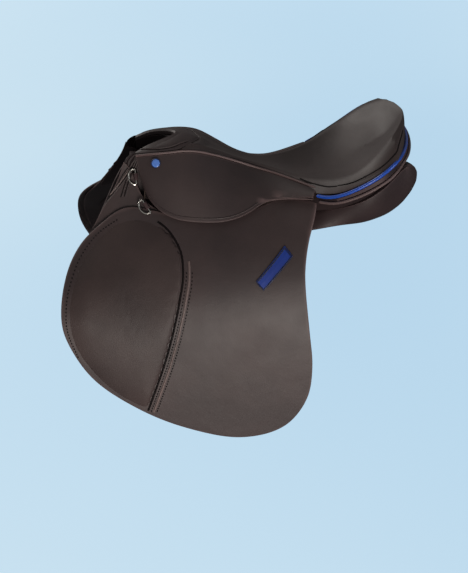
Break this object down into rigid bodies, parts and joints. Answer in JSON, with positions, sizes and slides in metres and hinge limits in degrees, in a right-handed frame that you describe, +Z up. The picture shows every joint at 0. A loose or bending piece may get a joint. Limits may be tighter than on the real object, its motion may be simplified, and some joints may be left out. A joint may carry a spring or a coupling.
{
  "type": "jumping saddle",
  "caption": "Jumping saddle with deep padded seat, forward flaps with knee pads, lifting skirts, stirrup bars, girth straps and a flocked panel.",
  "frame": {"origin": "on the midline of the saddle, level with the lowest part of the panels, where the horse's back is", "axes": "+X to the rear (cantle), -X to the front (pommel), -Y to the near (left) side, +Z up"},
  "size_m": [0.588, 0.444, 0.509],
  "materials": {
    "bar_catch_left": "satin",
    "bar_catch_right": "satin",
    "buckle_guard_left": "smooth",
    "buckle_guard_right": "smooth",
    "cantle_facing": "fine grain",
    "cantle_piping": "gloss",
    "cantle_welt": "fine grain",
    "dee_keeper_lower_left": "fine grain",
    "dee_keeper_lower_right": "fine grain",
    "dee_keeper_upper_left": "fine grain",
    "dee_keeper_upper_right": "fine grain",
    "dee_ring_lower_left": "polished",
    "dee_ring_lower_right": "polished",
    "dee_ring_upper_left": "polished",
    "dee_ring_upper_right": "polished",
    "flap_left": "fine grain",
    "flap_right": "fine grain",
    "girth_strap_front_left": "smooth",
    "girth_strap_front_right": "smooth",
    "girth_strap_middle_left": "smooth",
    "girth_strap_middle_right": "smooth",
    "girth_strap_rear_left": "smooth",
    "girth_strap_rear_right": "smooth",
    "girth_web_front": "woven",
    "girth_web_rear": "woven",
    "gullet_plate": "satin",
    "head_arch": "varnished",
    "head_plate": "satin",
    "head_stud_left": "gloss",
    "head_stud_right": "gloss",
    "knee_block_left": "fine grain",
    "knee_block_right": "fine grain",
    "knee_pad_left": "fine grain",
    "knee_pad_right": "fine grain",
    "name_plate_left": "gloss",
    "name_plate_right": "gloss",
    "panel_bridge_front": "soft grain",
    "panel_bridge_rear": "soft grain",
    "panel_left": "soft grain",
    "panel_right": "soft grain",
    "panel_wing_left": "soft grain",
    "panel_wing_right": "soft grain",
    "pommel_facing": "fine grain",
    "seat_cover": "fine grain",
    "seat_foam": "open foam",
    "seat_side_left": "fine grain",
    "seat_side_right": "fine grain",
    "seat_web": "woven",
    "seat_welt_left": "fine grain",
    "seat_welt_right": "fine grain",
    "skirt_left": "fine grain",
    "skirt_right": "fine grain",
    "stirrup_bar_left": "satin",
    "stirrup_bar_right": "satin",
    "sweat_flap_left": "fine grain",
    "sweat_flap_right": "fine grain",
    "thigh_block_left": "fine grain",
    "thigh_block_right": "fine grain",
    "tree_rails": "varnished"
  },
  "bodies": {
    "saddle": {"cantle_facing": "cantle_facing", "cantle_piping": "cantle_piping", "cantle_welt": "cantle_welt", "dee_keeper_upper_left": "dee_keeper_upper_left", "dee_keeper_upper_right": "dee_keeper_upper_right", "girth_web_front": "girth_web_front", "girth_web_rear": "girth_web_rear", "gullet_plate": "gullet_plate", "head_arch": "head_arch", "head_plate": "head_plate", "head_stud_left": "head_stud_left", "head_stud_right": "head_stud_right", "knee_block_left": "knee_block_left", "knee_block_right": "knee_block_right", "panel_bridge_front": "panel_bridge_front", "panel_bridge_rear": "panel_bridge_rear", "panel_left": "panel_left", "panel_right": "panel_right", "panel_wing_left": "panel_wing_left", "panel_wing_right": "panel_wing_right", "pommel_facing": "pommel_facing", "seat_cover": "seat_cover", "seat_foam": "seat_foam", "seat_side_left": "seat_side_left", "seat_side_right": "seat_side_right", "seat_web": "seat_web", "seat_welt_left": "seat_welt_left", "seat_welt_right": "seat_welt_right", "stirrup_bar_left": "stirrup_bar_left", "stirrup_bar_right": "stirrup_bar_right", "sweat_flap_left": "sweat_flap_left", "sweat_flap_right": "sweat_flap_right", "thigh_block_left": "thigh_block_left", "thigh_block_right": "thigh_block_right", "tree_rails": "tree_rails"},
    "lifting_flap_left": {"flap_left": "flap_left", "knee_pad_left": "knee_pad_left", "name_plate_left": "name_plate_left", "dee_keeper_lower_left": "dee_keeper_lower_left"},
    "lifting_skirt_left": {"skirt_left": "skirt_left"},
    "catch_left": {"bar_catch_left": "bar_catch_left"},
    "dee_upper_left": {"dee_ring_upper_left": "dee_ring_upper_left"},
    "dee_lower_left": {"dee_ring_lower_left": "dee_ring_lower_left"},
    "strap_front_left": {"girth_strap_front_left": "girth_strap_front_left"},
    "strap_middle_left": {"girth_strap_middle_left": "girth_strap_middle_left"},
    "strap_rear_left": {"girth_strap_rear_left": "girth_strap_rear_left"},
    "guard_left": {"buckle_guard_left": "buckle_guard_left"},
    "lifting_flap_right": {"flap_right": "flap_right", "knee_pad_right": "knee_pad_right", "name_plate_right": "name_plate_right", "dee_keeper_lower_right": "dee_keeper_lower_right"},
    "lifting_skirt_right": {"skirt_right": "skirt_right"},
    "catch_right": {"bar_catch_right": "bar_catch_right"},
    "dee_upper_right": {"dee_ring_upper_right": "dee_ring_upper_right"},
    "dee_lower_right": {"dee_ring_lower_right": "dee_ring_lower_right"},
    "strap_front_right": {"girth_strap_front_right": "girth_strap_front_right"},
    "strap_middle_right": {"girth_strap_middle_right": "girth_strap_middle_right"},
    "strap_rear_right": {"girth_strap_rear_right": "girth_strap_rear_right"},
    "guard_right": {"buckle_guard_right": "buckle_guard_right"}
  },
  "joints": [
    {"name": "flap_lift_left", "type": "hinge", "parent": "saddle", "child": "lifting_flap_left", "pos_m": [-0.024, -0.1, 0.097], "axis": [-0.9817, 0.1732, 0.0794], "range_deg": [0, 75]},
    {"name": "skirt_lift_left", "type": "hinge", "parent": "lifting_flap_left", "child": "lifting_skirt_left", "pos_m": [-0.024, -0.1, 0.097], "axis": [-0.9817, 0.1732, 0.0794], "range_deg": [0, 60]},
    {"name": "catch_swing_left", "type": "hinge", "parent": "saddle", "child": "catch_left", "pos_m": [-0.078, -0.085, 0.0655], "axis": [0, -1, 0], "range_deg": [0, 35]},
    {"name": "dee_swing_upper_left", "type": "hinge", "parent": "saddle", "child": "dee_upper_left", "pos_m": [-0.1748, -0.0546, 0.098], "axis": [-0.0501, 0.5212, 0.852], "range_deg": [0, 70]},
    {"name": "dee_swing_lower_left", "type": "hinge", "parent": "lifting_flap_left", "child": "dee_lower_left", "pos_m": [-0.158, -0.0847, 0.0593], "axis": [-0.5496, 0.4997, 0.6695], "range_deg": [0, 70]},
    {"name": "strap_swing_front_left", "type": "hinge", "parent": "saddle", "child": "strap_front_left", "pos_m": [-0.04314, -0.10539, 0.02164], "axis": [0.0337, 0.9783, -0.2042], "range_deg": [-1.5, 1.5]},
    {"name": "strap_swing_middle_left", "type": "hinge", "parent": "saddle", "child": "strap_middle_left", "pos_m": [-0.00285, -0.11128, 0.02133], "axis": [0.0647, 0.9802, -0.1873], "range_deg": [-1.5, 1.5]},
    {"name": "strap_swing_rear_left", "type": "hinge", "parent": "saddle", "child": "strap_rear_left", "pos_m": [0.03744, -0.11895, 0.02115], "axis": [0.0632, 0.9839, -0.1671], "range_deg": [-1.5, 1.5]},
    {"name": "guard_slide_left", "type": "slide", "parent": "saddle", "child": "guard_left", "axis": [0.0029, 0.0949, 0.9955], "range_m": [-0.005, 0.005]},
    {"name": "flap_lift_right", "type": "hinge", "parent": "saddle", "child": "lifting_flap_right", "pos_m": [-0.024, 0.1, 0.097], "axis": [0.9817, 0.1732, -0.0794], "range_deg": [0, 75]},
    {"name": "skirt_lift_right", "type": "hinge", "parent": "lifting_flap_right", "child": "lifting_skirt_right", "pos_m": [-0.024, 0.1, 0.097], "axis": [0.9817, 0.1732, -0.0794], "range_deg": [0, 60]},
    {"name": "catch_swing_right", "type": "hinge", "parent": "saddle", "child": "catch_right", "pos_m": [-0.078, 0.085, 0.0655], "axis": [0, -1, 0], "range_deg": [0, 35]},
    {"name": "dee_swing_upper_right", "type": "hinge", "parent": "saddle", "child": "dee_upper_right", "pos_m": [-0.1748, 0.0546, 0.098], "axis": [0.0501, 0.5212, -0.852], "range_deg": [0, 70]},
    {"name": "dee_swing_lower_right", "type": "hinge", "parent": "lifting_flap_right", "child": "dee_lower_right", "pos_m": [-0.158, 0.0847, 0.0593], "axis": [0.5496, 0.4997, -0.6695], "range_deg": [0, 70]},
    {"name": "strap_swing_front_right", "type": "hinge", "parent": "saddle", "child": "strap_front_right", "pos_m": [-0.04314, 0.10539, 0.02164], "axis": [0.0337, -0.9783, -0.2042], "range_deg": [-1.5, 1.5]},
    {"name": "strap_swing_middle_right", "type": "hinge", "parent": "saddle", "child": "strap_middle_right", "pos_m": [-0.00285, 0.11128, 0.02133], "axis": [0.0647, -0.9802, -0.1873], "range_deg": [-1.5, 1.5]},
    {"name": "strap_swing_rear_right", "type": "hinge", "parent": "saddle", "child": "strap_rear_right", "pos_m": [0.03744, 0.11895, 0.02115], "axis": [0.0632, -0.9839, -0.1671], "range_deg": [-1.5, 1.5]},
    {"name": "guard_slide_right", "type": "slide", "parent": "saddle", "child": "guard_right", "axis": [0.0029, -0.0949, 0.9955], "range_m": [-0.005, 0.005]}
  ]
}
